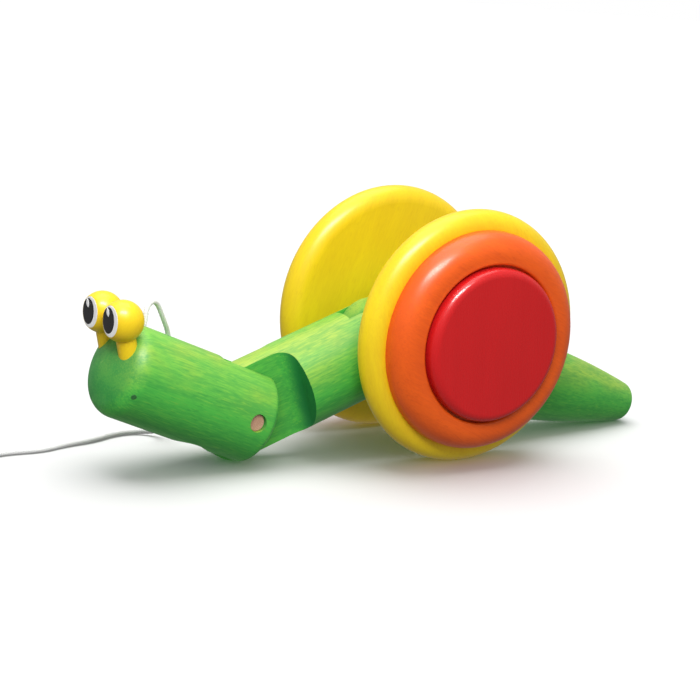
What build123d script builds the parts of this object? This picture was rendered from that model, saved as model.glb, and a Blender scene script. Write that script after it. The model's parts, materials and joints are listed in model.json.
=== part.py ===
from build123d import *
from math import asin, atan2, cos, degrees, pi, radians, sin, sqrt, tan
import os

# Wooden pull-along snail. Millimetres, +Z up, the floor is z = 0.
# The head points towards -X, and the toy's left side is -Y.

# ---------------------------------------------------------------- driving dimensions
# shell: three discs a side, stacked outwards from the body
wheel_r = 50.0              # rim disc radius; the wheels stand on the floor
rim_disc_t = 12.4
middle_disc_r = 43.0
middle_disc_t = 10.2
middle_edge_r = 8.5         # big rounding round the middle disc's outer edge
recess_lip_r = 1.2          # rounding where the recess for the button opens
button_r = 30.2
button_t = 6.7              # whole thickness of the hub button
button_seat = 3.0           # how deep the button sits in the middle disc
button_edge_r = 3.2
hidden_edge_r = 0.5         # light rounding on edges that are glued out of sight
button_groove = 0.9         # gap round the button, in the recess that seats it
disc_gap = 43.8             # between the two rim discs' inner faces
axle_x = 17.7               # the axle's place along the toy, whose middle is x = 0
axle_r = 4.0
axle_seat = 4.5             # depth of the axle's end in the middle disc
spacer_r = 8.0
spacer_play = 0.3           # between a spacer and the body's ear

# dowel that all three body blocks are cut from
dowel_r = 18.0
edge_r = 1.4                # small rounding on sawn ends

# hinge between head and body
link_length = 91.9          # body block, from the head hinge pin to the axle
head_rise = 22.0            # slope of the head at rest, degrees above level
head_lift = 22.0            # how far the head can lift from rest, degrees
head_tip = 62.3             # from the pin to the middle of the domed end
dome_r = 27.0
dome_edge_r = 8.0           # rounding between the dome and the dowel
ear_end = 8.7               # wood behind the pin in the head's ears
ear_heel_r = 3.0            # rounding of the ears' end, which stands on the floor
pin_r = 3.5
pin_recess = 1.5            # the pin's ends stop short of the dowel's surface
stop_wall = 16.6            # slot's end wall, from the pin
relief_depth = 1.7          # shallow hollow under the neck
relief_length = 17.0
relief_at = 14.5            # middle of the hollow, from the pin

# tongues, slots and scoops
tongue_t = 9.4
slot_play = 0.4             # each side of a tongue
stop_play = 0.3             # between the tongue and the end of its slot, at either stop
scoop_shoulder = 25.6       # where the full dowel starts again, from the head pin
scoop_cove_r = 7.0
rear_ear_end = 12.0         # wood behind the axle in the body's ears
rear_slot_play = 0.8        # between the tail's tongue and the end of the slot

# tail
tail_slope = 14.4           # degrees below level
tail_shoulder = 28.0        # full dowel starts here, along the tail from the axle
taper_start = 30.0
taper_r = 372.0             # the long taper is one arc, straight where it starts
tip_at = 115.3              # where the taper ends
tip_dome_r = 18.0
tip_edge_r = 2.8
tongue_nose = (-25.0, -4.6)     # centre of the tongue's front end, from the axle
tongue_nose_r = 14.2
tongue_boss_r = 13.5            # wood round the axle

# eyes
eye_r = 7.8
eye_face = 5.1              # the painted flat, from the ball's centre
eye_dip = 20.0              # the flat looks down this much from the head's line, degrees
eye_spread = 8.0            # each side of the middle
eye_at = (65.4, 17.0)       # ball's centre along and above the head's axis, from the pin
eye_foot = (57.0, 5.2)      # where the stem meets the dome
eye_stem_r = 3.7
eye_stem_depth = 6.0        # length of stem inside the head

# pull cord and what is on it
cord_r = 1.0
cord_hole_r = 1.5
cord_mouth = (49.5, 3.0)        # along the head's axis from the pin, and sideways
cord_foot = (52.0, 1.8, 0.5)    # bottom of the cord's hole: along, sideways, above
brad_at = (54.0, -7.0)          # the nail that holds the cord, along and above the axis
brad_r = 0.8
brad_head_r = 1.0
brad_sink = 0.3                 # the nail's head below the wood's surface, at its middle
brad_head_t = 0.7
coil_r = 11.0                   # middle of the coil's turns
coil_width = 8.6
coil_height = 4.2
coil_edge_r = 1.0
bead_r = 8.0
bead_bore_r = 1.6
bead_tilt = 25.0                # the bead's bore points up this much on its far side
knot_r = 2.4
knot_sink = 0.2                 # share of the knot that is drawn into the bead's bore

# fits
run_fit = 0.07              # radial clearance of a shaft that turns in its hole
glue_fit = 0.02             # radial clearance of a glued pin
overshoot = 2.0             # how far a cutting shape stands out of the wood

# ---------------------------------------------------------------- reference places
SIDE = Vector(0, 1, 0)
slot_w = tongue_t + 2 * slot_play


def along(angle, towards):
    """Unit vectors along and square to a line that rises by angle, in the XZ plane."""
    a = radians(angle)
    return Vector(towards * cos(a), 0, sin(a)), Vector(-towards * sin(a), 0, cos(a))


def side_plane(origin, axis, normal):
    """Sketch plane seen from the side: x runs along the axis and y along the normal."""
    return Plane(origin=origin, x_dir=axis, z_dir=axis.cross(normal))


def plan_plane(origin, axis, normal):
    """Sketch plane seen from above: x runs along the axis, square to the normal."""
    return Plane(origin=origin, x_dir=axis, z_dir=normal)


def turning_plane(origin, axis, normal):
    """As side_plane, but turned so that a turned solid's seam lies where nothing cuts it."""
    return side_plane(origin, axis, (SIDE - normal).normalized())


axle = Vector(axle_x, 0, wheel_r)

head_axis, head_up = along(head_rise, -1)
heel_drop = (ear_end - ear_heel_r) * head_axis.Z + (dowel_r - ear_heel_r) * head_up.Z + ear_heel_r
pin_drop = wheel_r - heel_drop
pin = axle - Vector(sqrt(link_length**2 - pin_drop**2), 0, pin_drop)

body_axis, body_up = along(degrees(atan2(axle.Z - pin.Z, axle.X - pin.X)), 1)

tail_axis, tail_up = along(-tail_slope, 1)

head_side = side_plane(pin, head_axis, head_up)
body_side = side_plane(pin, body_axis, body_up)
axle_side = Plane(origin=axle, x_dir=(1, 0, 0), z_dir=(0, -1, 0))


def from_pin(s, y, n):
    """A point of the head, along its axis, sideways and above its axis."""
    return pin + head_axis * s + SIDE * y + head_up * n


os.makedirs("parts", exist_ok=True)


def dome_height(radius, edge):
    """How far a dome of this radius stands out of the circle that bounds it."""
    return radius - sqrt(radius**2 - edge**2)


def domed_end(start, edge, radius):
    """Profile of a domed end, from its edge to the line it is turned about."""
    height = dome_height(radius, edge)
    middle = atan2(edge, radius - height) / 2
    centre = start + height - radius
    ThreePointArc(
        (start, edge),
        (centre + radius * cos(middle), radius * sin(middle)),
        (start + height, 0),
    )


def rings_along(builder, axis):
    """A turned solid's round edges square to its axis, in order along it."""
    square = Plane(origin=axis.position, z_dir=axis.direction)
    return builder.edges().filter_by(GeomType.CIRCLE).filter_by(square).sort_by(axis)


def save(part, name):
    part.label = name
    export_step(part, f"parts/{name}.step")


def scoop_profile(end, shoulder, hand):
    """Plan of what is cut beside a tongue, with its cove: hand is +1 or -1."""
    inner = hand * tongue_t / 2
    outer = hand * (dowel_r + 2 * overshoot)
    with BuildSketch() as profile:
        with BuildLine():
            Polyline((end, inner), (shoulder, inner), (shoulder, outer), (end, outer), close=True)
        make_face()
        corner = profile.vertices().sort_by_distance((shoulder, inner, 0))[0]
        fillet(corner, scoop_cove_r)
    return profile.sketch


# ---------------------------------------------------------------- head block
dome_start = head_tip - dome_height(dome_r, dowel_r)
eye_foot_point = Vector(eye_foot[0], eye_foot[1], 0)
eye_lean = (Vector(eye_at[0], eye_at[1], 0) - eye_foot_point).normalized()
eye_axis = head_axis * eye_lean.X + head_up * eye_lean.Y

cord_mouth_n = sqrt(dowel_r**2 - cord_mouth[1] ** 2)
cord_mouth_point = from_pin(cord_mouth[0], cord_mouth[1], cord_mouth_n)
cord_foot_point = from_pin(*cord_foot)
cord_hole_line = cord_mouth_point - cord_foot_point

brad_y = -sqrt(dowel_r**2 - brad_at[1] ** 2)
brad_head_point = from_pin(brad_at[0], brad_y, brad_at[1])
brad_line = cord_foot_point + cord_hole_line.normalized() * cord_r - brad_head_point
brad_axis = brad_line.normalized()


def eye_centre(hand):
    return from_pin(eye_at[0], hand * eye_spread, eye_at[1])


def eye_stem_end(hand):
    foot = from_pin(eye_foot[0], hand * eye_spread, eye_foot[1])
    return foot - eye_axis * eye_stem_depth


with BuildPart() as head_block:
    with BuildSketch(turning_plane(pin, head_axis, head_up)):
        with BuildLine():
            Line((-ear_end, 0), (-ear_end, dowel_r))
            Line((-ear_end, dowel_r), (dome_start, dowel_r))
            domed_end(dome_start, dowel_r, dome_r)
            Line((head_tip, 0), (-ear_end, 0))
        make_face()
    revolve(axis=Axis(pin, head_axis))
    fillet(rings_along(head_block, Axis(pin, head_axis))[0], ear_heel_r)
    fillet(rings_along(head_block, Axis(pin, head_axis))[-1], dome_edge_r)
    # slot for the body's tongue
    with BuildSketch(head_side):
        with Locations(((stop_wall - ear_end - overshoot) / 2, 0)):
            Rectangle(stop_wall + ear_end + overshoot, 2 * (dowel_r + overshoot))
    extrude(amount=slot_w / 2, both=True, mode=Mode.SUBTRACT)
    # hollow under the neck
    relief_r = ((relief_length / 2) ** 2 + relief_depth**2) / (2 * relief_depth)
    with BuildSketch(head_side):
        with Locations((relief_at, -dowel_r + relief_depth - relief_r)):
            Circle(relief_r)
    extrude(amount=dowel_r + overshoot, both=True, mode=Mode.SUBTRACT)
    # hinge pin's hole
    with BuildSketch(head_side):
        Circle(pin_r + glue_fit)
    extrude(amount=dowel_r + overshoot, both=True, mode=Mode.SUBTRACT)
    # sockets for the eyes, the cord and its nail
    for hand in (-1, 1):
        with BuildSketch(Plane(origin=eye_stem_end(hand), z_dir=eye_axis)):
            Circle(eye_stem_r + glue_fit)
        extrude(amount=eye_stem_depth + dowel_r, mode=Mode.SUBTRACT)
    with BuildSketch(Plane(origin=cord_foot_point, z_dir=cord_hole_line)):
        Circle(cord_hole_r)
    extrude(amount=cord_hole_line.length + 2 * overshoot, mode=Mode.SUBTRACT)
    with BuildSketch(Plane(origin=brad_head_point - brad_axis * overshoot, z_dir=brad_axis)):
        Circle(brad_r + glue_fit)
    extrude(amount=brad_line.length + overshoot, mode=Mode.SUBTRACT)
    with BuildSketch(Plane(origin=brad_head_point - brad_axis * overshoot, z_dir=brad_axis)):
        Circle(brad_head_r + glue_fit)
    extrude(amount=overshoot + brad_sink + brad_head_t, mode=Mode.SUBTRACT)
save(head_block.part, "head_block")

# ---------------------------------------------------------------- body block
rear_slot_r = Vector(*tongue_nose).length + tongue_nose_r + rear_slot_play
body_end = link_length + rear_ear_end


def stop_cutter():
    """Side view of what the slot's end wall sweeps in the tongue, from rest to full lift."""
    reach = stop_wall - stop_play
    far = 3 * dowel_r
    low_axis, low_up = along(head_rise, -1)
    high_axis, high_up = along(head_rise + head_lift, -1)
    corners = [low_axis * reach - low_up * far, body_axis * far, high_axis * reach + high_up * far]
    local = [body_side.to_local_coords(pin + corner) for corner in corners]
    with BuildSketch() as kept:
        Circle(reach)
        with BuildLine():
            Polyline(*[(p.X, p.Y) for p in local], close=True)
        make_hull()
    with BuildSketch() as cutter:
        with Locations((-dowel_r, 0)):
            Rectangle(2 * dowel_r, 3 * dowel_r)
        add(kept.sketch, mode=Mode.SUBTRACT)
    return cutter.sketch


with BuildPart() as body_block:
    with BuildSketch(Plane(origin=pin - body_axis * dowel_r, x_dir=SIDE, z_dir=body_axis)):
        Circle(dowel_r)
    extrude(amount=body_end + dowel_r)
    fillet(body_block.edges().group_by(Axis(pin, body_axis))[-1], edge_r)
    # round the tongue's nose about the pin, and cut it back where the head's slot ends
    with BuildSketch(body_side):
        with Locations((-dowel_r, 0)):
            Rectangle(2 * dowel_r, 2 * dowel_r + overshoot)
        Circle(dowel_r, mode=Mode.SUBTRACT)
    extrude(amount=dowel_r + overshoot, both=True, mode=Mode.SUBTRACT)
    stop_shape = stop_cutter()
    with BuildSketch(body_side):
        add(stop_shape)
    extrude(amount=dowel_r + overshoot, both=True, mode=Mode.SUBTRACT)
    # scoops beside the tongue
    for hand in (-1, 1):
        scoop = scoop_profile(-dowel_r - overshoot, scoop_shoulder, hand)
        with BuildSketch(plan_plane(pin, body_axis, body_up)):
            add(scoop)
        extrude(amount=dowel_r + overshoot, both=True, mode=Mode.SUBTRACT)
    # slot for the tail's tongue, its end round about the axle
    with BuildSketch(body_side):
        with Locations((link_length, 0)):
            Circle(rear_slot_r)
    extrude(amount=slot_w / 2, both=True, mode=Mode.SUBTRACT)
    # holes for the pin and the axle
    with BuildSketch(body_side):
        Circle(pin_r + run_fit)
        with Locations((link_length, 0)):
            Circle(axle_r + run_fit)
    extrude(amount=dowel_r + overshoot, both=True, mode=Mode.SUBTRACT)
save(body_block.part, "body_block")

# ---------------------------------------------------------------- tail block
tail_start = tail_shoulder - 2 * scoop_cove_r
taper_turn = asin((tip_at - taper_start) / taper_r)


def taper_point(turn):
    """A point of the taper's arc, this far round it from its start."""
    return taper_start + taper_r * sin(turn), dowel_r - taper_r * (1 - cos(turn))


# The turned dowel is made about a line through the origin, and then lowered or raised
# until the tip is on the floor: that sets how far under the axle the tail's line passes.
tip_r = taper_point(taper_turn)[1]
with BuildPart() as tail_dowel:
    with BuildSketch(turning_plane(Vector(0, 0, 0), tail_axis, tail_up)):
        with BuildLine():
            Line((tail_start, 0), (tail_start, dowel_r))
            Line((tail_start, dowel_r), (taper_start, dowel_r))
            ThreePointArc((taper_start, dowel_r), taper_point(taper_turn / 2), (tip_at, tip_r))
            domed_end(tip_at, tip_r, tip_dome_r)
            Line((tip_at + dome_height(tip_dome_r, tip_r), 0), (tail_start, 0))
        make_face()
    revolve(axis=Axis((0, 0, 0), tail_axis))
    fillet(rings_along(tail_dowel, Axis((0, 0, 0), tail_axis))[-1], tip_edge_r)
tail_offset = (axle.Z + tail_dowel.part.bounding_box().min.Z) / tail_up.Z
tail_root = axle - tail_up * tail_offset

with BuildPart() as tail_block:
    with Locations(tail_root):
        add(tail_dowel.part)
    for hand in (-1, 1):
        scoop = scoop_profile(-dowel_r, tail_shoulder, hand)
        with BuildSketch(plan_plane(tail_root, tail_axis, tail_up)):
            add(scoop)
        extrude(amount=dowel_r + overshoot, both=True, mode=Mode.SUBTRACT)
    # tongue: nose, wood round the axle, and its root in the dowel
    tongue_root_r = sqrt(dowel_r**2 - (tongue_t / 2) ** 2)
    tongue_root = axle_side.to_local_coords(tail_root + tail_axis * (tail_shoulder + scoop_cove_r))
    with BuildSketch(axle_side):
        with Locations(tongue_nose):
            Circle(tongue_nose_r)
        Circle(tongue_boss_r)
        with Locations((tongue_root.X, tongue_root.Y)):
            Circle(tongue_root_r)
        make_hull()
    extrude(amount=tongue_t / 2, both=True)
    with BuildSketch(axle_side):
        Circle(axle_r + run_fit)
    extrude(amount=tongue_t, both=True, mode=Mode.SUBTRACT)
save(tail_block.part, "tail_block")


# ---------------------------------------------------------------- pins and axle
def round_bar(origin, direction, radius, length, chamfer_by=0.4):
    """A plain round bar centred on origin, with its two ends chamfered."""
    with BuildPart() as bar:
        with BuildSketch(Plane(origin=origin, z_dir=direction)):
            Circle(radius)
        extrude(amount=length / 2, both=True)
        chamfer(bar.edges().filter_by(GeomType.CIRCLE), chamfer_by)
    return bar.part


rim_inner_y = disc_gap / 2
middle_inner_y = rim_inner_y + rim_disc_t
middle_outer_y = middle_inner_y + middle_disc_t
button_inner_y = middle_outer_y - button_seat
axle_end_y = middle_inner_y + axle_seat

save(round_bar(pin, SIDE, pin_r, 2 * (dowel_r - pin_recess)), "hinge_pin")
save(round_bar(axle, SIDE, axle_r, 2 * axle_end_y), "wheel_axle")

with BuildPart() as cord_brad:
    brad_neck = brad_sink + brad_head_t
    with BuildSketch(Plane(origin=brad_head_point + brad_axis * brad_neck, z_dir=brad_axis)):
        Circle(brad_r)
    extrude(amount=brad_line.length - brad_neck)
    with BuildSketch(Plane(origin=brad_head_point + brad_axis * brad_sink, z_dir=brad_axis)):
        Circle(brad_head_r)
    extrude(amount=brad_head_t)
save(cord_brad.part, "cord_brad")


# ---------------------------------------------------------------- shell discs
def disc(inner_y, thickness, radius, bore, bore_depth, inner_edge, outer_edge, recess=(0, 0), hand=1):
    """A turned disc on the axle's line, from inner_y outwards; bore is 0 for none.

    recess is the radius and depth of what is sunk in its outer face, with a rounded lip.
    """
    start = Plane(origin=(axle.X, hand * inner_y, axle.Z), z_dir=(0, hand, 0))
    end = Plane(origin=(axle.X, hand * (inner_y + thickness), axle.Z), z_dir=(0, hand, 0))
    with BuildPart() as turned:
        with BuildSketch(start):
            Circle(radius)
        extrude(amount=thickness)
        rings = turned.edges().filter_by(GeomType.CIRCLE).sort_by(Axis.Y, reverse=hand < 0)
        fillet(rings[0], inner_edge)
        rings = turned.edges().filter_by(GeomType.CIRCLE).sort_by(Axis.Y, reverse=hand > 0)
        fillet(rings[0], outer_edge)
        if bore:
            with BuildSketch(start):
                Circle(bore)
            extrude(amount=bore_depth, mode=Mode.SUBTRACT)
        if recess[0]:
            with BuildSketch(end):
                Circle(recess[0])
            extrude(amount=-recess[1], mode=Mode.SUBTRACT)
            outermost = turned.edges().group_by(Axis.Y)[-1 if hand > 0 else 0]
            fillet(outermost.sort_by(SortBy.RADIUS)[0], lip_r)
    return turned.part


rim_edge_r = rim_disc_t / 2 - 0.05
glued_bore = axle_r + glue_fit
middle_recess = (button_r + button_groove, button_seat)
# the middle disc's two roundings are limited by the wood between its recess and its edge
middle_wall = middle_disc_r - middle_recess[0]
lip_r = min(recess_lip_r, middle_wall / 4)
middle_outer_r = min(middle_edge_r, middle_wall - 2 * lip_r)

for hand, side in ((-1, "left"), (1, "right")):
    save(
        disc(rim_inner_y, rim_disc_t, wheel_r, glued_bore, rim_disc_t, rim_edge_r, rim_edge_r, hand=hand),
        f"rim_disc_{side}",
    )
    save(
        disc(
            middle_inner_y, middle_disc_t, middle_disc_r, glued_bore, axle_seat + glue_fit,
            hidden_edge_r, middle_outer_r, middle_recess, hand,
        ),
        f"middle_disc_{side}",
    )
    save(
        disc(button_inner_y, button_t, button_r, 0, 0, hidden_edge_r, button_edge_r, hand=hand),
        f"hub_button_{side}",
    )
    spacer_inner_y = dowel_r + spacer_play
    spacer_t = rim_inner_y - spacer_inner_y
    save(
        disc(
            spacer_inner_y, spacer_t, spacer_r, glued_bore, spacer_t,
            hidden_edge_r, hidden_edge_r, hand=hand,
        ),
        f"axle_spacer_{side}",
    )

# ---------------------------------------------------------------- eyes
look_axis, look_up = along(head_rise - eye_dip, -1)
for hand, side in ((-1, "left"), (1, "right")):
    centre = eye_centre(hand)
    stem_end = eye_stem_end(hand)
    with BuildPart() as eye_peg:
        with BuildSketch(Plane(origin=stem_end, z_dir=eye_axis)):
            Circle(eye_stem_r)
        extrude(amount=(centre - stem_end).length)
        with BuildSketch(side_plane(centre, look_axis, look_up)):
            with BuildLine():
                rim_n = sqrt(eye_r**2 - eye_face**2)
                Line((-eye_r, 0), (eye_face, 0))
                Line((eye_face, 0), (eye_face, rim_n))
                ThreePointArc((eye_face, rim_n), (0, eye_r), (-eye_r, 0))
            make_face()
        revolve(axis=Axis(centre, look_axis))
    save(eye_peg.part, f"eye_peg_{side}")

# ---------------------------------------------------------------- pull cord
# From the bottom of its hole in the head: up out of the hole, over in a small loop,
# down past the head's right side, and forwards along the floor to the coil.
floor_z = cord_r
cord_from_head = [      # along the head's axis from the pin, sideways, above the axis
    cord_foot,
    (51.1, 2.1, 6.5),
    (50.3, 2.7, 12.3),
    (49.6, 3.2, 18.6),
    (51.2, 4.6, 25.0),
    (45.8, 9.0, 28.5),
    (37.4, 12.4, 22.6),
    (30.5, 16.6, 18.4),
    (23.0, dowel_r + 3.4, 10.1),
    (15.4, dowel_r + 8.2, -0.3),
    (8.5, dowel_r + 12.4, -11.0),
]
cord_on_floor = [       # places on the floor; the first is just above it
    Vector(-80.2, 36.6, 2.4),
    Vector(-86.0, 43.4, floor_z),
    Vector(-97.0, 43.2, floor_z),
    Vector(-108.6, 37.6, floor_z),
    Vector(-121.2, 35.8, floor_z),
    Vector(-133.8, 31.4, floor_z),
    Vector(-146.4, 32.8, floor_z),
    Vector(-158.8, 30.4, floor_z),
    Vector(-170.0, 26.5, floor_z),
]
coil_centre = Vector(-173.0, 40.5, 0)
bead_centre = Vector(-197.2, 37.9, bead_r)
bead_heading = Vector(-0.87, 0.5, 0).normalized()   # from the coil through the bead


def tube_radii(points):
    """The largest arc at each corner that leaves its two runs a straight bit."""
    radii = []
    for before, corner, after in zip(points, points[1:], points[2:]):
        run = min((corner - before).length, (after - corner).length)
        turn = (corner - before).get_angle(after - corner)
        radii.append(0.45 * run / tan(radians(turn / 2)))
    return radii


def tube(points, name):
    """A cord's tube along points, its corners rounded; prints what can be compared."""
    radii = tube_radii(points)
    with BuildPart() as cord:
        with BuildLine() as line:
            FilletPolyline(*points, radius=radii)
        with BuildSketch(Plane(origin=points[0], z_dir=points[1] - points[0])):
            Circle(cord_r)
        sweep(path=line.wires()[0])
    length = line.wires()[0].length
    print(name, "radii", [round(r, 1) for r in radii], "length", round(length, 1))
    print(name, "volume", round(cord.part.volume, 1), "from length", round(length * pi * cord_r**2, 1))
    return cord.part


cord_route = [from_pin(*place) for place in cord_from_head] + cord_on_floor
save(tube(cord_route, "pull_cord"), "pull_cord")

with BuildPart() as cord_coil:
    with BuildSketch(Plane(origin=coil_centre, x_dir=(1, 0, 0), z_dir=(0, -1, 0))):
        with Locations((coil_r, coil_height / 2)):
            RectangleRounded(coil_width, coil_height, coil_edge_r)
    revolve(axis=Axis(coil_centre, (0, 0, 1)))
save(cord_coil.part, "cord_coil")

# the cord's end: off the top of the coil, up through the bead, and its knot
tilt = radians(bead_tilt)
bead_axis = bead_heading * cos(tilt) + Vector(0, 0, sin(tilt))
coil_leave_z = coil_height - 1.2 * cord_r
coil_side = bead_heading.cross(Vector(0, 0, 1))
coil_leave_r = coil_r + coil_width / 2 - cord_r
end_start = coil_centre - coil_side * coil_leave_r + Vector(0, 0, coil_leave_z)
knot_centre = bead_centre + bead_axis * (bead_r + knot_r * (1 - knot_sink))
end_route = [end_start, bead_centre - bead_axis * (bead_r + 1), knot_centre]

with BuildPart() as cord_end:
    add(tube(end_route, "cord_end"))
    with Locations(knot_centre):
        Sphere(knot_r)
save(cord_end.part, "cord_end")

with BuildPart() as pull_bead:
    with Locations(bead_centre):
        Sphere(bead_r)
    with BuildSketch(Plane(origin=bead_centre, z_dir=bead_axis)):
        Circle(bead_bore_r)
    extrude(amount=bead_r + 1, both=True, mode=Mode.SUBTRACT)
save(pull_bead.part, "pull_bead")
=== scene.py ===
"""Finishes, eyes, cord and stage of a wooden pull-along snail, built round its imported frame.

Everything is in metres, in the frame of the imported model: +X from the head to the tail,
+Z up, and the floor is z = 0.
"""

import json
import math

import bmesh
import bpy
from bpy.props import (
    FloatProperty,
    FloatVectorProperty,
    IntProperty,
    PointerProperty,
)
from mathutils import Matrix, Vector


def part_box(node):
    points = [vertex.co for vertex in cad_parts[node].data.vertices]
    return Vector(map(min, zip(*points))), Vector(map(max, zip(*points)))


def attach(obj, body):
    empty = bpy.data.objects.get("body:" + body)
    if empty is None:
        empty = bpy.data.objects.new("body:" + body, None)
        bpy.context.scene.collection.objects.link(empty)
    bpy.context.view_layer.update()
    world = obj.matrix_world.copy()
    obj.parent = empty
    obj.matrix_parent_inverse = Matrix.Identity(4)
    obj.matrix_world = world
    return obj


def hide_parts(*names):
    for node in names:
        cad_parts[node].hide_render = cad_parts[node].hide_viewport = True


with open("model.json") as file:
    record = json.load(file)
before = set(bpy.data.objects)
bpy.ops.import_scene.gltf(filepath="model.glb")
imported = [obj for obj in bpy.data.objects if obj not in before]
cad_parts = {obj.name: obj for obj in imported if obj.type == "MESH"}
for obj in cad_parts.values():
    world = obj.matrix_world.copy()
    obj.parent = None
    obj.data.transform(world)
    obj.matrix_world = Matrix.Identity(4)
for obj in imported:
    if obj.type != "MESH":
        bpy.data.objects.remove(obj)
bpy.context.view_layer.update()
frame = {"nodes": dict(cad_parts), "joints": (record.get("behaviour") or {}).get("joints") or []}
JOINT = {joint["name"]: joint for joint in frame["joints"]}

bl_info = {
    "name": "Wooden pull-along snail",
    "version": (1, 0, 0),
    "blender": (4, 5, 0),
    "location": "View3D > Sidebar > Snail",
    "description": "Finishes, eyes, cord and stage of a wooden pull-along snail",
    "category": "Object",
}

# ---------------------------------------------------------------- places from the frame
PIN = Vector(JOINT["head_hinge"]["pos_m"])
AXLE = Vector(JOINT["tail_hinge"]["pos_m"])
SIDES = {"left": -1, "right": 1}
FLOOR_Z = 0.0


def line_in_side_view(rise, towards):
    """Unit vectors along and square to a line that rises by an angle, in the XZ plane."""
    along = Vector((towards * math.cos(rise), 0, math.sin(rise)))
    above = Vector((-towards * math.sin(rise), 0, math.cos(rise)))
    return along, above


BODY_ALONG = (AXLE - PIN).normalized()


# ---------------------------------------------------------------- sizes and colours
def length(label, text, metres):
    return FloatProperty(name=label, description=text, default=metres, unit="LENGTH")


def angle(label, text, degrees):
    return FloatProperty(
        name=label, description=text, default=math.radians(degrees), unit="ROTATION"
    )


def paint(label, text, colour):
    """A colour that a user can change; colour is linear red, green and blue."""
    return FloatVectorProperty(
        name=label, description=text, default=colour, subtype="COLOR", size=3, min=0, max=1
    )


class SnailSizes(bpy.types.PropertyGroup):
    """Sizes of what is added to the frame."""

    head_rise: angle("Head slope", "How much the head block rises towards its front", 22.0)
    tail_fall: angle("Tail slope", "How much the tail block falls towards its tip", 14.4)
    eye_along: length(
        "Eye along the head", "Centre of an eye's ball along the head, from the hinge pin", 0.0654
    )
    eye_above: length(
        "Eye above the head", "Centre of an eye's ball above the head's middle line", 0.0170
    )
    eye_spread: length(
        "Eye to the middle", "Centre of an eye's ball from the middle plane", 0.0080
    )
    eye_face: length(
        "Eye's flat", "From the centre of an eye's ball to the flat that is painted", 0.0051
    )
    eye_dip: angle("Eye's look", "How far the eyes' flats look down from the head's line", 20.0)
    white_radius: length(
        "White of the eye", "Radius of the white paint on an eye's flat", 0.00575
    )
    pupil_width: length("Pupil width", "Half of the pupil's width", 0.0043)
    pupil_height: length("Pupil height", "Half of the pupil's height", 0.0048)
    paint_thickness: length(
        "Paint thickness", "How far a layer of paint stands off what it is on", 0.00012
    )
    cord_diameter: length("Cord diameter", "Diameter of the pull cord", 0.0020)
    coil_turns: FloatProperty(
        name="Coil turns",
        description="Turns of the coil in each of its two layers",
        default=3.35,
        min=1.0,
    )
    coil_inner: length("Coil inner radius", "Middle of the coil's innermost turn", 0.0077)
    coil_outer: length("Coil outer radius", "Middle of the coil's outermost turn", 0.0143)
    strand_sides: IntProperty(
        name="Cord facets",
        description="Facets round the cord's mesh",
        default=16,
        min=8,
    )


class SnailColours(bpy.types.PropertyGroup):
    """Stains, paints and bare materials."""

    # Paler, yellower green: painted light on the sides of the blocks that face up, and also the
    # pale fine grain.
    green_lit_top_and_grain: paint("Green, worn", "Stain where the block faces up", (0.37, 0.53, 0.062))
    green: paint("Green", "Stain along the grain", (0.085, 0.52, 0.070))
    green_streak: paint("Green, streaks", "Stain in open grain", (0.030, 0.30, 0.055))
    # Darker end-grain green: stain soaked into cut ends, and on the body also painted shade in its
    # scoops.
    green_end: paint("Green, end grain", "Stain soaked into cut ends", (0.015, 0.21, 0.058))
    yellow: paint("Yellow", "Shell rims and eye pegs", (0.93, 0.66, 0.014))
    yellow_streak: paint("Yellow, streaks", "Stain in open grain", (0.78, 0.50, 0.012))
    orange: paint("Orange", "Shell's middle discs", (0.92, 0.130, 0.010))
    orange_streak: paint("Orange, streaks", "Stain in open grain", (0.72, 0.085, 0.008))
    red: paint("Red", "Hub buttons and bead", (0.64, 0.012, 0.014))
    red_streak: paint("Red, streaks", "Stain in open grain", (0.50, 0.008, 0.010))
    beech: paint("Bare beech", "Pin, axle and spacers", (0.66, 0.40, 0.27))
    beech_streak: paint("Bare beech, streaks", "Rays and pores", (0.44, 0.22, 0.13))
    eye_white: paint("Eye white", "Paint on the eyes' flats", (0.95, 0.95, 0.94))
    eye_black: paint("Eye black", "Pupils", (0.006, 0.006, 0.007))
    cotton: paint("Cord", "Braided cotton", (0.84, 0.84, 0.83))
    # Grey between the cord's strands: painted shade in the braid's gaps, and random fibre tone.
    cotton_gap_shade_and_fibre: paint("Cord, gaps", "Between the cord's strands", (0.50, 0.50, 0.50))
    steel: paint("Nail", "Steel wire under stain", (0.04, 0.20, 0.05))
    floor: paint("Floor", "Stage floor", (0.90, 0.90, 0.90))


class SnailStage(bpy.types.PropertyGroup):
    """Camera and lights."""

    azimuth: angle(
        "Camera azimuth", "Turn of the camera about the toy, from its left side", -34.568
    )
    elevation: angle("Camera elevation", "Height of the camera's line above level", 12.935)
    roll: angle("Camera roll", "Turn of the camera about its own line of sight", 4.425)
    distance: length("Camera distance", "From the camera to its target", 0.82829)
    target: FloatVectorProperty(
        name="Camera target",
        description="The point that the camera looks at",
        default=(-0.01747, 0.00025, 0.03984),
        subtype="TRANSLATION",
        unit="LENGTH",
    )
    lens: FloatProperty(
        name="Lens",
        description="Focal length in millimetres on a 36 mm sensor",
        default=108.43,
        unit="CAMERA",
    )
    floor_radius: length("Floor radius", "Radius of the floor's disc", 3.0)
    sky: FloatProperty(
        name="Sky", description="Strength of the white surroundings above", default=0.62, min=0
    )
    bounce: FloatProperty(
        name="Bounce", description="Strength of the light from below", default=0.27, min=0
    )


def sizes():
    return bpy.context.scene.snail_sizes


def colours():
    return bpy.context.scene.snail_colours


def head_lines():
    return line_in_side_view(sizes().head_rise, -1)


def look_lines():
    return line_in_side_view(sizes().head_rise - sizes().eye_dip, -1)


def tail_lines():
    return line_in_side_view(-sizes().tail_fall, 1)


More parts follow.
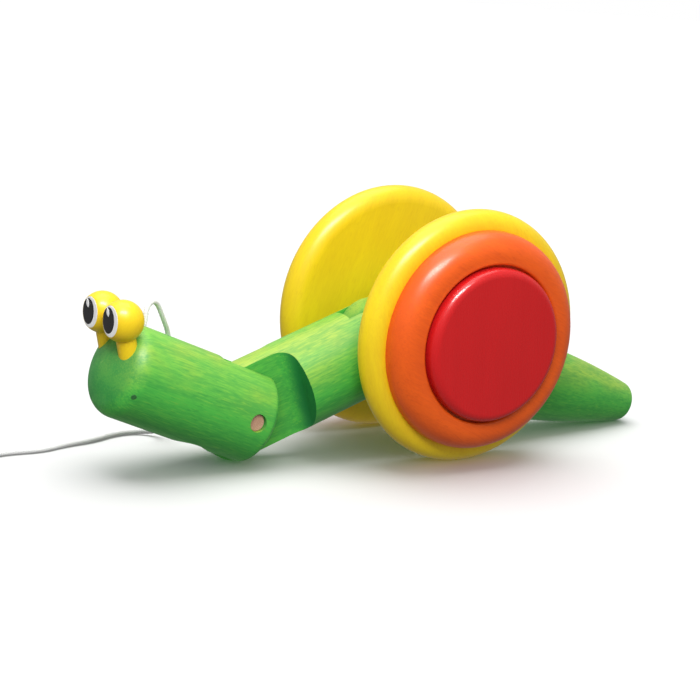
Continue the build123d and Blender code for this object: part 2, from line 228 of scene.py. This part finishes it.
# ---------------------------------------------------------------- node trees
class Tree:
    """A material's nodes, with short ways to add and join them."""

    def __init__(self, name):
        self.material = bpy.data.materials.new(name)
        self.material.use_nodes = True
        self.nodes = self.material.node_tree.nodes
        self.links = self.material.node_tree.links
        self.shader = self.nodes["Principled BSDF"]

    def add(self, kind, settings=None, **inputs):
        """Adds a node; inputs are values or other nodes' outputs, by name with _ for a space."""
        node = self.nodes.new(kind)
        for key, value in (settings or {}).items():
            setattr(node, key, value)
        for key, value in inputs.items():
            self.put(node, key, value)
        return node

    def put(self, node, key, value):
        socket = node.inputs[int(key[1:]) if key[1:].isdigit() else key.replace("_", " ")]
        if isinstance(value, bpy.types.NodeSocket):
            self.links.new(value, socket)
        elif hasattr(value, "__len__") and len(value) == 3 and socket.type == "RGBA":
            socket.default_value = (*value, 1.0)
        else:
            socket.default_value = value

    def math(self, operation, first, second=0.0):
        node = self.add("ShaderNodeMath", {"operation": operation})
        self.put(node, "i0", first)
        self.put(node, "i1", second)
        return node.outputs[0]

    def ramp(self, value, low, high, out_low=0.0, out_high=1.0):
        """Maps low..high smoothly to out_low..out_high."""
        node = self.add(
            "ShaderNodeMapRange",
            {"interpolation_type": "SMOOTHSTEP"},
            Value=value,
            From_Min=low,
            From_Max=high,
            To_Min=out_low,
            To_Max=out_high,
        )
        return node.outputs["Result"]

    def mix(self, factor, first, second):
        """Blends two colours; sockets 6 and 7 are the node's colour inputs."""
        node = self.add("ShaderNodeMix", {"data_type": "RGBA"})
        self.put(node, "i0", factor)
        self.put(node, "i6", first)
        self.put(node, "i7", second)
        return node.outputs[2]

    def noise(self, where, scale, detail=3.0, roughness=0.55, stretch=(1, 1, 1)):
        """Noise whose blobs are about 1/scale metres, drawn out along an axis by stretch."""
        mapped = self.add(
            "ShaderNodeMapping",
            Vector=where,
            Scale=tuple(scale * s for s in stretch),
        )
        node = self.add(
            "ShaderNodeTexNoise",
            Vector=mapped.outputs[0],
            Scale=1.0,
            Detail=detail,
            Roughness=roughness,
        )
        return node.outputs["Fac"]

    def bump(self, height, distance, strength, normal=None):
        node = self.add("ShaderNodeBump", Height=height, Distance=distance, Strength=strength)
        if normal is not None:
            self.put(node, "Normal", normal)
        return node.outputs["Normal"]

    def surface(self, **inputs):
        """Sets the shader's sockets, by name with _ for a space."""
        for key, value in inputs.items():
            self.put(self.shader, key, value)
        return self.material


def grain_place(tree, origin, along):
    """Coordinates whose X runs along the grain, in metres."""
    place = tree.add("ShaderNodeTexCoord")
    turn = Vector((1, 0, 0)).rotation_difference(Vector(along)).to_euler()
    mapped = tree.add(
        "ShaderNodeMapping",
        {"vector_type": "TEXTURE"},
        Vector=place.outputs["Object"],
        Location=tuple(origin),
        Rotation=tuple(turn),
    )
    return mapped.outputs[0], place.outputs["Normal"]


def facing(tree, normal, direction):
    """How squarely the surface faces a direction, from -1 to 1."""
    node = tree.add("ShaderNodeVectorMath", {"operation": "DOT_PRODUCT"})
    tree.put(node, "i0", normal)
    tree.put(node, "i1", tuple(direction))
    return node.outputs["Value"]


def wood_grain(tree, where):
    """Streaks, fine grain, flecks and blotches, each from 0 to 1; X of where is the grain."""
    broad = tree.noise(where, 190.0, 3.0, 0.55, (0.07, 1, 1))
    fine = tree.noise(where, 1500.0, 4.0, 0.62, (0.12, 1, 1))
    flecks = tree.noise(where, 1500.0, 1.0, 0.4, (0.16, 1, 1))
    blotch = tree.noise(where, 55.0, 3.0, 0.5, (0.6, 1, 1))
    return {
        "streak": tree.math(
            "ADD", tree.math("MULTIPLY", broad, 0.5), tree.math("MULTIPLY", fine, 0.5)
        ),
        "fine": fine,
        "fleck": tree.ramp(flecks, 0.60, 0.70),
        "blotch": blotch,
    }


# ---------------------------------------------------------------- finishes
# Painted light: the green blocks are painted paler and yellower on the side that faces this way,
# as if lit from it.
LIT_SIDE = (-0.18, -0.30, 0.94)  # the way the paler side of the green blocks faces


def stained_green(name, origin, along, end_depth):
    """Green stain on a dowel: painted light makes it paler and yellowish on top; dark where the
    grain is cut, and on the body that also paints shade into its scoops.
    """
    tree = Tree(name)
    paints = colours()
    where, normal = grain_place(tree, origin, along)
    grain = wood_grain(tree, where)
    # Painted light: paler, yellower green where the block faces the lit side, broken up by
    # blotches.
    facing_lit_side = tree.ramp(facing(tree, normal, LIT_SIDE), 0.15, 1.0)
    painted_top_light = tree.math("MULTIPLY", facing_lit_side, tree.ramp(grain["blotch"], 0.36, 0.60, 0.45, 1.0))
    colour = tree.mix(painted_top_light, paints.green, paints.green_lit_top_and_grain)
    colour = tree.mix(
        tree.ramp(grain["streak"], 0.60, 0.38, 0.0, 0.55), colour, paints.green_streak
    )
    colour = tree.mix(
        tree.ramp(grain["fine"], 0.52, 0.74, 0.0, 0.22), colour, paints.green_lit_top_and_grain
    )
    colour = tree.mix(
        tree.math("MULTIPLY", grain["fleck"], 0.35), colour, paints.green_streak
    )
    # Cut ends take more stain; with the body's strong end_depth this also paints shade into its
    # scoops.
    cut = tree.math("ABSOLUTE", facing(tree, normal, along))
    colour = tree.mix(tree.ramp(cut, 0.50, 1.0, 0.0, end_depth), colour, paints.green_end)
    relief = tree.bump(grain["fine"], 0.00010, 0.55)
    relief = tree.bump(grain["fleck"], 0.00005, -0.4, relief)
    return tree.surface(
        Base_Color=colour,
        Roughness=tree.ramp(grain["streak"], 0.35, 0.65, 0.50, 0.36),
        Specular_IOR_Level=0.22,
        Coat_Weight=0.03,
        Coat_Roughness=0.30,
        Normal=relief,
    )


def lacquered(name, paint_colour, streak_colour, origin, along, gloss, grain_shows):
    """Opaque stain under lacquer on a turned disc or peg, with a little grain showing."""
    tree = Tree(name)
    where, normal = grain_place(tree, origin, along)
    grain = wood_grain(tree, where)
    shade = tree.ramp(grain["streak"], 0.62, 0.36, 0.0, 0.75 * grain_shows)
    colour = tree.mix(shade, paint_colour, streak_colour)
    colour = tree.mix(
        tree.math("MULTIPLY", grain["fleck"], 0.55 * grain_shows), colour, streak_colour
    )
    cut = tree.math("ABSOLUTE", facing(tree, normal, along))
    colour = tree.mix(
        tree.ramp(cut, 0.55, 1.0, 0.0, 0.55 * grain_shows), colour, streak_colour
    )
    blotch = tree.ramp(grain["blotch"], 0.35, 0.65, 0.0, 0.4 * grain_shows)
    colour = tree.mix(blotch, colour, streak_colour)
    relief = tree.bump(grain["fine"], 0.00006, 0.30 * grain_shows)
    relief = tree.bump(tree.noise(where, 260.0, 2.0), 0.00004, 0.35, relief)
    return tree.surface(
        Base_Color=colour,
        Roughness=tree.ramp(grain["fine"], 0.35, 0.65, 0.46 - 0.16 * gloss, 0.38 - 0.16 * gloss),
        Specular_IOR_Level=0.25,
        Coat_Weight=0.03 + 0.20 * gloss,
        Coat_Roughness=0.24 - 0.14 * gloss,
        Normal=relief,
    )


def bare_beech(name, origin, along):
    """Unfinished beech: rings and pores on its ends, streaks along its sides."""
    tree = Tree(name)
    paints = colours()
    where, normal = grain_place(tree, origin, along)
    grain = wood_grain(tree, where)
    pores = tree.ramp(tree.noise(where, 2600.0, 2.0, 0.5, (0.1, 1, 1)), 0.58, 0.70)
    rings = tree.add(
        "ShaderNodeTexWave",
        {"wave_type": "RINGS", "rings_direction": "X"},
        Vector=where,
        Scale=420.0,
        Distortion=2.5,
        Detail=2.0,
        Detail_Scale=1.2,
    )
    colour = tree.mix(
        tree.ramp(grain["streak"], 0.62, 0.38, 0.0, 0.55), paints.beech, paints.beech_streak
    )
    colour = tree.mix(tree.math("MULTIPLY", pores, 0.45), colour, paints.beech_streak)
    end = tree.ramp(tree.math("ABSOLUTE", facing(tree, normal, along)), 0.7, 0.98)
    ring_shade = tree.math("MULTIPLY", rings.outputs["Fac"], tree.math("MULTIPLY", end, 0.35))
    colour = tree.mix(ring_shade, colour, paints.beech_streak)
    return tree.surface(
        Base_Color=colour,
        Roughness=tree.ramp(grain["fine"], 0.3, 0.7, 0.72, 0.58),
        Normal=tree.bump(grain["fine"], 0.00010, 0.6),
    )


def eye_paint(name, colour, thin, roughness):
    """Brushed paint on the eyes, a little thinner in places."""
    tree = Tree(name)
    place = tree.add("ShaderNodeTexCoord").outputs["Object"]
    cloud = tree.noise(place, 420.0, 3.0)
    return tree.surface(
        Base_Color=tree.mix(tree.ramp(cloud, 0.42, 0.72, 0.0, 0.6), colour, thin),
        Roughness=tree.ramp(cloud, 0.3, 0.7, roughness, roughness + 0.1),
        Specular_IOR_Level=0.3,
        Coat_Weight=0.15,
        Coat_Roughness=0.12,
        Normal=tree.bump(tree.noise(place, 900.0, 2.0), 0.00003, 0.4),
    )


def braided_cotton(name):
    """Off-white cotton with painted shade in its gaps, which follow the braid written on the mesh.
    """
    tree = Tree(name)
    paints = colours()
    place = tree.add("ShaderNodeTexCoord").outputs["Object"]
    braid = tree.add("ShaderNodeAttribute", {"attribute_name": "braid"}).outputs["Fac"]
    fuzz = tree.noise(place, 5200.0, 3.0, 0.7)
    soil = tree.noise(place, 120.0, 2.0)
    # Painted shade: darker grey in the gaps between the braid's strands.
    colour = tree.mix(tree.ramp(braid, 0.55, 0.0, 0.0, 0.9), paints.cotton, paints.cotton_gap_shade_and_fibre)
    colour = tree.mix(tree.ramp(fuzz, 0.50, 0.75, 0.0, 0.35), colour, paints.cotton_gap_shade_and_fibre)
    colour = tree.mix(tree.ramp(soil, 0.52, 0.75, 0.0, 0.18), colour, (0.55, 0.52, 0.46))
    return tree.surface(
        Base_Color=colour,
        Roughness=tree.ramp(fuzz, 0.3, 0.7, 0.95, 0.8),
        Sheen_Weight=0.35,
        Sheen_Roughness=0.5,
        Normal=tree.bump(fuzz, 0.00008, 0.7),
    )


def wire_steel(name):
    """The nail: drawn steel, dulled and specked."""
    tree = Tree(name)
    place = tree.add("ShaderNodeTexCoord").outputs["Object"]
    specks = tree.noise(place, 2400.0, 3.0)
    colour = tree.mix(tree.ramp(specks, 0.5, 0.7, 0.0, 0.8), colours().steel, (0.03, 0.10, 0.03))
    return tree.surface(
        Base_Color=colour,
        Metallic=0.2,
        Roughness=tree.ramp(specks, 0.3, 0.7, 0.35, 0.6),
        Normal=tree.bump(specks, 0.00004, 0.5),
    )


def floor_board(name):
    """Plain pale studio floor, with the faintest mottling."""
    tree = Tree(name)
    place = tree.add("ShaderNodeTexCoord").outputs["Object"]
    cloud = tree.noise(place, 3.0, 2.0)
    base = colours().floor
    return tree.surface(
        Base_Color=tree.mix(tree.ramp(cloud, 0.3, 0.7, 0.0, 0.02), base, (0.8, 0.8, 0.8)),
        Roughness=0.75,
        Specular_IOR_Level=0.2,
    )


def coat_nodes(material, *names):
    """Gives CAD nodes a finish, in place of their plain one."""
    for name in names:
        piece = frame["nodes"][name]
        for slot in piece.material_slots:
            slot.link = "OBJECT"
            slot.material = material


def node_middle(name):
    low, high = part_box(name)
    return (Vector(low) + Vector(high)) / 2


# ---------------------------------------------------------------- meshes
def mesh_piece(name, verts, faces, material):
    """A smooth-shaded mesh object from points in the frame."""
    mesh = bpy.data.meshes.new(name)
    mesh.from_pydata([tuple(v) for v in verts], [], faces)
    mesh.validate()
    for polygon in mesh.polygons:
        polygon.use_smooth = True
    mesh.materials.append(material)
    piece = bpy.data.objects.new(name, mesh)
    bpy.context.scene.collection.objects.link(piece)
    return piece


def tube_faces(rings, around):
    """Faces of a closed tube, whose points come ring after ring."""
    faces = []
    for ring in range(rings - 1):
        low, high = ring * around, (ring + 1) * around
        for i in range(around):
            j = (i + 1) % around
            faces.append((low + i, low + j, high + j, high + i))
    faces.append(tuple(range(around))[::-1])
    last = (rings - 1) * around
    faces.append(tuple(last + i for i in range(around)))
    return faces


def turn_outwards(piece):
    """Makes a closed mesh's faces point outwards."""
    work = bmesh.new()
    work.from_mesh(piece.data)
    bmesh.ops.recalc_face_normals(work, faces=work.faces)
    work.to_mesh(piece.data)
    work.free()
    return piece


# Rings of a pad of paint, from its rim to its middle: share of the outline, share of the height.
PAINT_DOME = ((1.0, 0.25), (0.985, 0.62), (0.94, 0.88), (0.8, 1.0), (0.55, 1.0), (0.25, 1.0))
PAINT_FACETS = 64


def paint_patch(name, outline, centre, across, up, out, thickness, sink, material):
    """A pad of paint: a low dome over an outline, with its skirt sunk into the wood.

    outline(turn) gives the rim's place across and up, in metres from centre.
    """
    rings = ((1.0, -sink), *PAINT_DOME)
    verts = []
    for share, height in rings:
        for i in range(PAINT_FACETS):
            x, y = outline(math.tau * i / PAINT_FACETS)
            lift = height * thickness
            verts.append(centre + across * (x * share) + up * (y * share) + out * lift)
    faces = tube_faces(len(rings), PAINT_FACETS)
    return turn_outwards(mesh_piece(name, verts, faces, material))


def curve_points(name, controls, resolution):
    """Points read from a NURBS spline through controls, as Blender makes it."""
    curve = bpy.data.curves.new(name, "CURVE")
    curve.dimensions = "3D"
    spline = curve.splines.new("NURBS")
    spline.points.add(len(controls) - 1)
    for point, place in zip(spline.points, controls):
        point.co = (*place, 1.0)
    spline.order_u = 3
    spline.use_endpoint_u = True
    spline.resolution_u = resolution
    holder = bpy.data.objects.new(name, curve)
    bpy.context.scene.collection.objects.link(holder)
    line = bpy.data.meshes.new_from_object(holder)
    points = [v.co.copy() for v in line.vertices]
    bpy.data.objects.remove(holder)
    bpy.data.curves.remove(curve)
    bpy.data.meshes.remove(line)
    return points


def even_points(points, step):
    """The same line with points an even step apart."""
    lengths = [0.0]
    for before, after in zip(points, points[1:]):
        lengths.append(lengths[-1] + (after - before).length)
    count = max(2, round(lengths[-1] / step))
    placed, at = [], 0
    for i in range(count + 1):
        want = lengths[-1] * i / count
        while at < len(points) - 2 and lengths[at + 1] < want:
            at += 1
        span = max(lengths[at + 1] - lengths[at], 1e-12)
        placed.append(points[at].lerp(points[at + 1], (want - lengths[at]) / span))
    return placed, lengths[-1]


BRAID_STRANDS = 8
BRAID_PITCH = 0.0021


def braided_tube(name, points, radius, sides, relief, material):
    """A round cord along points, whose surface carries a diamond braid.

    The braid's height, from 0 to 1, is also written on the mesh for its material.
    """
    verts, braid = [], []
    side = None
    travelled = 0.0
    for index, point in enumerate(points):
        before, after = points[max(index - 1, 0)], points[min(index + 1, len(points) - 1)]
        ahead = (after - before).normalized()
        if side is None:
            side = ahead.orthogonal().normalized()
        side = (side - ahead * side.dot(ahead)).normalized()
        other = ahead.cross(side)
        if index:
            travelled += (point - points[index - 1]).length
        for i in range(sides):
            turn = math.tau * i / sides
            phase = math.pi * travelled / BRAID_PITCH
            first = math.cos(BRAID_STRANDS * turn / 2 + phase)
            second = math.cos(BRAID_STRANDS * turn / 2 - phase)
            height = max(abs(first), abs(second)) ** 2
            braid.append(height)
            reach = radius - relief * (1 - height)
            verts.append(point + (side * math.cos(turn) + other * math.sin(turn)) * reach)
    piece = mesh_piece(name, verts, tube_faces(len(points), sides), material)
    layer = piece.data.attributes.new("braid", "FLOAT", "POINT")
    layer.data.foreach_set("value", braid)
    return piece


# ---------------------------------------------------------------- pull cord's route
# Controls of the cord's line, from inside the head to where the coil begins.
CORD_ROUTE = (
    (-0.1169, 0.0018, 0.0390),
    (-0.1138, 0.0021, 0.0442),
    (-0.1109, 0.0027, 0.0493),
    (-0.1078, 0.0032, 0.0549),
    (-0.1069, 0.0046, 0.0614),
    (-0.1006, 0.0090, 0.0626),
    (-0.0950, 0.0124, 0.0540),
    (-0.0902, 0.0166, 0.0475),
    (-0.0864, 0.0214, 0.0370),
    (-0.0832, 0.0262, 0.0245),
    (-0.0808, 0.0304, 0.0120),
    (-0.0802, 0.0366, 0.0024),
    (-0.0860, 0.0434, 0.0010),
    (-0.0970, 0.0432, 0.0010),
    (-0.1086, 0.0376, 0.0010),
    (-0.1212, 0.0358, 0.0010),
    (-0.1338, 0.0314, 0.0010),
    (-0.1464, 0.0328, 0.0010),
    (-0.1588, 0.0304, 0.0010),
)
COIL_CENTRE = Vector((-0.1730, 0.0405, 0.0))
COIL_START = math.radians(-78.0)
COIL_STEPS = 16
COIL_CLIMB = 3  # steps that the line takes to climb onto the coil's second layer
# Controls of the cord's line past the coil, up through the bead to the knot.
BEAD_BORE = (
    (-0.1901, 0.0338, 0.0042),
    (-0.1972, 0.0379, 0.0080),
    (-0.2047, 0.0422, 0.0120),
)
CORD_RESOLUTION = 12
CORD_STEP = 0.00035
CORD_RELIEF = 0.00011
KNOT_STEPS = 119
KNOT_SHARE = 0.985
KNOT_WIDTH = 0.00052
KNOT_DEPTH = 0.0007
KNOT_CORD_RADIUS = 0.00088
KNOT_FACETS = 14
KNOT_RELIEF = 0.0001


def coil_points():
    """Two flat layers of turns: inwards on the floor, then outwards on top of it."""
    size = sizes()
    radius = size.cord_diameter / 2
    count = round(size.coil_turns * COIL_STEPS)
    points = []
    for layer in (0, 1):
        for i in range(count + 1):
            share = i / count
            inwards = share if layer == 0 else 1 - share
            reach = size.coil_outer + (size.coil_inner - size.coil_outer) * inwards
            turn = COIL_START - math.tau * (layer * count + i + layer) / COIL_STEPS
            lift = radius * (1 + 2 * layer)
            if layer == 1 and i < COIL_CLIMB:
                lift = radius * (1 + 2 * (i + 1) / (COIL_CLIMB + 1))
            points.append(
                COIL_CENTRE + Vector((math.cos(turn) * reach, math.sin(turn) * reach, lift))
            )
    return points


# ---------------------------------------------------------------- operators
class SNAIL_OT_blocks(bpy.types.Operator):
    """Stain the three green blocks, each along its own grain"""

    bl_idname = "snail.blocks"
    bl_label = "Stain the blocks"

    def execute(self, context):
        head_along = head_lines()[0]
        tail_along = tail_lines()[0]
        coat_nodes(stained_green("green_head", PIN, head_along, 0.5), "head_block")
        # The body's cut ends are darkened most: real end-grain stain, and painted shade in the
        # scoops round its tongue.
        coat_nodes(stained_green("green_body", AXLE, BODY_ALONG, 0.9), "body_block")
        coat_nodes(stained_green("green_tail", AXLE, tail_along, 0.25), "tail_block")
        return {"FINISHED"}


# Each piece's wood is read at its middle times this, so that no two show the same grain.
SHELL_GRAIN_SHIFT = 1.37
EYE_GRAIN_SHIFT = 1.9


class SNAIL_OT_shell(bpy.types.Operator):
    """Finish the discs of the shell, each cut from a board of its own"""

    bl_idname = "snail.shell"
    bl_label = "Finish the shell"

    def execute(self, context):
        paints = colours()
        # node, material, its colours, the way its grain runs, gloss, how much the grain shows
        boards = (
            ("rim_disc", "yellow", paints.yellow, paints.yellow_streak, (0.35, 0, 1), 0.25, 0.55),
            ("middle_disc", "orange", paints.orange, paints.orange_streak, (1, 0, 0.5), 0.35, 0.7),
            ("hub_button", "red", paints.red, paints.red_streak, (0.08, 0, 1), 0.85, 0.25),
        )
        for node, colour, paint_colour, streak, along, gloss, shows in boards:
            for side, hand in SIDES.items():
                name = f"{node}_{side}"
                grain_along = Vector((along[0], 0, along[2] * hand)).normalized()
                material = lacquered(
                    f"{colour}_{side}", paint_colour, streak,
                    node_middle(name) * SHELL_GRAIN_SHIFT, grain_along, gloss, shows,
                )
                coat_nodes(material, name)
        return {"FINISHED"}


class SNAIL_OT_pins(bpy.types.Operator):
    """Leave the pin, axle and spacers in bare beech, and the nail in steel"""

    bl_idname = "snail.pins"
    bl_label = "Finish the pins"

    def execute(self, context):
        across = Vector((0, 1, 0))
        coat_nodes(bare_beech("beech_pin", PIN + Vector((0.004, 0, 0.002)), across), "hinge_pin")
        coat_nodes(
            bare_beech("beech_axle", AXLE + Vector((0.006, 0, 0.001)), across),
            "wheel_axle", "axle_spacer_left", "axle_spacer_right",
        )
        coat_nodes(wire_steel("nail_wire"), "cord_brad")
        return {"FINISHED"}


# Places of the pupil on the flat and of the glint on the pupil, and the glint's shape.
PUPIL_ACROSS, PUPIL_UP = 0.0012, 0.0001
GLINT_ACROSS, GLINT_UP = 0.0007, 0.0029
GLINT_WIDTH, GLINT_HEIGHT = 0.0007, 0.0017
GLINT_LEAN = 0.45
GLINT_SWELL = 0.45


class SNAIL_OT_eyes(bpy.types.Operator):
    """Finish the eye pegs and paint the eyes on their flats"""

    bl_idname = "snail.eyes"
    bl_label = "Paint the eyes"

    def execute(self, context):
        size, paints = sizes(), colours()
        along, above = head_lines()
        look, brow = look_lines()
        across = Vector((0, 1, 0))
        white = eye_paint("eye_white", paints.eye_white, (0.88, 0.88, 0.84), 0.35)
        black = eye_paint("eye_black", paints.eye_black, (0.014, 0.013, 0.015), 0.26)
        thick = size.paint_thickness

        def round_white(turn):
            return size.white_radius * math.cos(turn), size.white_radius * math.sin(turn)

        def pupil(turn):
            return size.pupil_width * math.cos(turn), size.pupil_height * math.sin(turn)

        def glint(turn):
            swell = 1 + GLINT_SWELL * math.cos(2 * turn)
            return GLINT_WIDTH * math.cos(turn) * swell, GLINT_HEIGHT * math.sin(turn)

        for side, hand in SIDES.items():
            peg = lacquered(
                f"yellow_eye_{side}", paints.yellow, paints.yellow_streak,
                node_middle(f"eye_peg_{side}") * EYE_GRAIN_SHIFT, above, 0.45, 0.5,
            )
            coat_nodes(peg, f"eye_peg_{side}")
            ball = PIN + along * size.eye_along + above * size.eye_above
            flat = ball + across * (hand * size.eye_spread) + look * size.eye_face
            pupil_at = flat + across * PUPIL_ACROSS + look * thick + brow * PUPIL_UP
            glint_at = pupil_at + across * GLINT_ACROSS + brow * GLINT_UP + look * thick
            lean = (brow + across * GLINT_LEAN).normalized()
            lean_across = (across - brow * GLINT_LEAN).normalized()
            pads = (
                ("white", round_white, flat, across, brow, 1.0, white),
                ("pupil", pupil, pupil_at, across, brow, 0.8, black),
                ("glint", glint, glint_at, lean_across, lean, 0.8, white),
            )
            for part, outline, centre, wide, up, sink, material in pads:
                piece = paint_patch(
                    f"eye_{part}_{side}", outline, centre, wide, up, look, thick, sink, material
                )
                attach(piece, "head")
        return {"FINISHED"}


class SNAIL_OT_cord(bpy.types.Operator):
    """Lay the pull cord, its coil, its knot and its bead"""

    bl_idname = "snail.cord"
    bl_label = "Lay the pull cord"

    def execute(self, context):
        size = sizes()
        radius = size.cord_diameter / 2
        cotton = braided_cotton("cord_cotton")
        controls = [Vector(p) for p in CORD_ROUTE] + coil_points()
        controls += [Vector(p) for p in BEAD_BORE]
        line = curve_points("cord_line", controls, CORD_RESOLUTION)
        points, cord_length = even_points(line, CORD_STEP)
        cord = braided_tube("cord", points, radius, size.strand_sides, CORD_RELIEF, cotton)
        before_end, end = controls[-2:]
        knot = self.knot(cotton, end, end - before_end)
        paints = colours()
        bead = lacquered(
            "red_bead", paints.red, paints.red_streak, node_middle("pull_bead"),
            Vector((0.6, 0.7, 0.3)).normalized(), 0.7, 0.6,
        )
        coat_nodes(bead, "pull_bead")
        for piece in (cord, knot):
            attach(piece, "head")
        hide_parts("pull_cord", "cord_coil", "cord_end")
        return {"FINISHED"}

    @staticmethod
    def knot(material, centre, heading):
        """A pulled-tight overhand knot on the end of the cord."""
        heading = heading.normalized()
        side = heading.orthogonal().normalized()
        other = heading.cross(side)
        points = []
        for i in range(KNOT_STEPS + 1):
            turn = math.tau * i / KNOT_STEPS * KNOT_SHARE
            across = math.sin(turn) + 2 * math.sin(2 * turn)
            up = math.cos(turn) - 2 * math.cos(2 * turn)
            ahead = -math.sin(3 * turn)
            points.append(
                centre
                + (side * across + other * up) * KNOT_WIDTH
                + heading * (ahead * KNOT_DEPTH)
            )
        return braided_tube(
            "cord_knot", points, KNOT_CORD_RADIUS, KNOT_FACETS, KNOT_RELIEF, material
        )


SKY_LOW, SKY_HIGH = -0.3, 0.6  # heights between which the sky goes from bounce to sky
SUN_STRENGTH = 2.1
SUN_SPREAD = math.radians(55)
SUN_FROM = Vector((0.08, 0.22, 0.97))
PANELS_AIM = Vector((0.0, 0.0, 0.05))


class SNAIL_OT_stage(bpy.types.Operator):
    """Set the floor, the lights and the camera"""

    bl_idname = "snail.stage"
    bl_label = "Set the stage"

    def execute(self, context):
        stage = context.scene.snail_stage
        board = self.floor(stage)
        self.sky(stage)
        self.lights(board)
        self.camera(stage)
        context.scene.view_settings.view_transform = "Standard"
        return {"FINISHED"}

    @staticmethod
    def floor(stage):
        """A wide disc, left out of what the toy mirrors and of the light that it catches."""
        rings, count = 12, 96
        verts = [Vector((0, 0, FLOOR_Z))]
        for ring in range(1, rings + 1):
            reach = stage.floor_radius * (ring / rings) ** 2
            for i in range(count):
                turn = math.tau * i / count
                verts.append(Vector((reach * math.cos(turn), reach * math.sin(turn), FLOOR_Z)))
        faces = [(0, 1 + i, 1 + (i + 1) % count) for i in range(count)]
        for ring in range(rings - 1):
            low, high = 1 + ring * count, 1 + (ring + 1) * count
            for i in range(count):
                j = (i + 1) % count
                faces.append((low + i, high + i, high + j, low + j))
        board = mesh_piece("studio_floor", verts, faces, floor_board("floor_board"))
        board.visible_diffuse = False
        board.visible_glossy = False
        return board

    @staticmethod
    def sky(stage):
        """White all round, dimmer from below as light; seen directly it is plain white."""
        world = bpy.data.worlds.new("studio_sky")
        world.use_nodes = True
        bpy.context.scene.world = world
        nodes, links = world.node_tree.nodes, world.node_tree.links
        back = nodes["Background"]
        back.inputs["Color"].default_value = (1, 1, 1, 1)
        place = nodes.new("ShaderNodeTexCoord")
        parts = nodes.new("ShaderNodeSeparateXYZ")
        height = nodes.new("ShaderNodeMapRange")
        height.interpolation_type = "SMOOTHSTEP"
        height.inputs["From Min"].default_value = SKY_LOW
        height.inputs["From Max"].default_value = SKY_HIGH
        height.inputs["To Min"].default_value = stage.bounce
        height.inputs["To Max"].default_value = stage.sky
        links.new(place.outputs["Generated"], parts.inputs[0])
        links.new(parts.outputs["Z"], height.inputs["Value"])
        path = nodes.new("ShaderNodeLightPath")
        strength = nodes.new("ShaderNodeMix")
        strength.inputs["B"].default_value = 1.0
        links.new(height.outputs["Result"], strength.inputs["A"])
        links.new(path.outputs["Is Camera Ray"], strength.inputs["Factor"])
        links.new(strength.outputs["Result"], back.inputs["Strength"])

    @staticmethod
    def lights(board):
        """An overhead sun, and two panels that leave the floor alone: for paint and for gloss."""
        sun = bpy.data.lights.new("ceiling", "SUN")
        sun.energy = SUN_STRENGTH
        sun.angle = SUN_SPREAD
        holder = bpy.data.objects.new("ceiling", sun)
        holder.rotation_euler = SUN_FROM.to_track_quat("Z", "Y").to_euler()
        bpy.context.scene.collection.objects.link(holder)
        unlit = bpy.data.collections.new("unlit_floor")
        unlit.objects.link(board)
        unlit.collection_objects[0].light_linking.link_state = "EXCLUDE"
        # name, place, width and depth, watts, whether it lights the paint or only gives gloss
        panels = (
            ("front_panel", (-0.22, -0.30, 0.33), (0.24, 0.14), 1.45, True),
            ("gloss_panel", (-0.27, -0.38, 0.74), (0.46, 0.20), 15.0, False),
        )
        for name, where, (width, depth), power, lights_paint in panels:
            lamp = bpy.data.lights.new(name, "AREA")
            lamp.shape = "RECTANGLE"
            lamp.size = width
            lamp.size_y = depth
            lamp.energy = power
            panel = bpy.data.objects.new(name, lamp)
            panel.location = where
            aim = PANELS_AIM - panel.location
            panel.rotation_euler = aim.to_track_quat("-Z", "Y").to_euler()
            panel.visible_diffuse = lights_paint
            panel.visible_glossy = not lights_paint
            panel.light_linking.receiver_collection = unlit
            bpy.context.scene.collection.objects.link(panel)

    @staticmethod
    def camera(stage):
        azimuth, elevation, roll = stage.azimuth, stage.elevation, stage.roll
        back = Vector((
            math.sin(azimuth) * math.cos(elevation),
            -math.cos(azimuth) * math.cos(elevation),
            math.sin(elevation),
        ))
        level = Vector((math.cos(azimuth), math.sin(azimuth), 0))
        upright = back.cross(level)
        right = level * math.cos(roll) + upright * math.sin(roll)
        up = upright * math.cos(roll) - level * math.sin(roll)
        place = Vector(stage.target) + back * stage.distance
        turned = Matrix((right, up, back)).transposed().to_4x4()
        lens = bpy.data.cameras.new("snail_camera")
        lens.lens = stage.lens
        lens.sensor_width = 36.0
        lens.clip_start = 0.01
        lens.clip_end = 20.0
        camera = bpy.data.objects.new("snail_camera", lens)
        camera.matrix_world = Matrix.Translation(place) @ turned
        bpy.context.scene.collection.objects.link(camera)
        bpy.context.scene.camera = camera


class SNAIL_PT_panel(bpy.types.Panel):
    """Lists the snail's steps and settings"""

    bl_idname = "SNAIL_PT_panel"
    bl_label = "Pull-along snail"
    bl_space_type = "VIEW_3D"
    bl_region_type = "UI"
    bl_category = "Snail"

    def draw(self, context):
        layout = self.layout
        for step in STEPS:
            layout.operator(step.bl_idname)
        for group in GROUPS:
            settings = getattr(context.scene, group)
            box = layout.box()
            for name in GROUPS[group].__annotations__:
                box.prop(settings, name)


STEPS = (
    SNAIL_OT_blocks,
    SNAIL_OT_shell,
    SNAIL_OT_pins,
    SNAIL_OT_eyes,
    SNAIL_OT_cord,
    SNAIL_OT_stage,
)
GROUPS = {"snail_sizes": SnailSizes, "snail_colours": SnailColours, "snail_stage": SnailStage}


def register():
    for kind in (*GROUPS.values(), *STEPS, SNAIL_PT_panel):
        bpy.utils.register_class(kind)
    for name, kind in GROUPS.items():
        setattr(bpy.types.Scene, name, PointerProperty(type=kind))


def unregister():
    for name in GROUPS:
        delattr(bpy.types.Scene, name)
    for kind in reversed((*GROUPS.values(), *STEPS, SNAIL_PT_panel)):
        bpy.utils.unregister_class(kind)


def main():
    register()
    bpy.ops.snail.blocks()
    bpy.ops.snail.shell()
    bpy.ops.snail.pins()
    bpy.ops.snail.eyes()
    bpy.ops.snail.cord()
    bpy.ops.snail.stage()


if __name__ == "__main__":
    main()
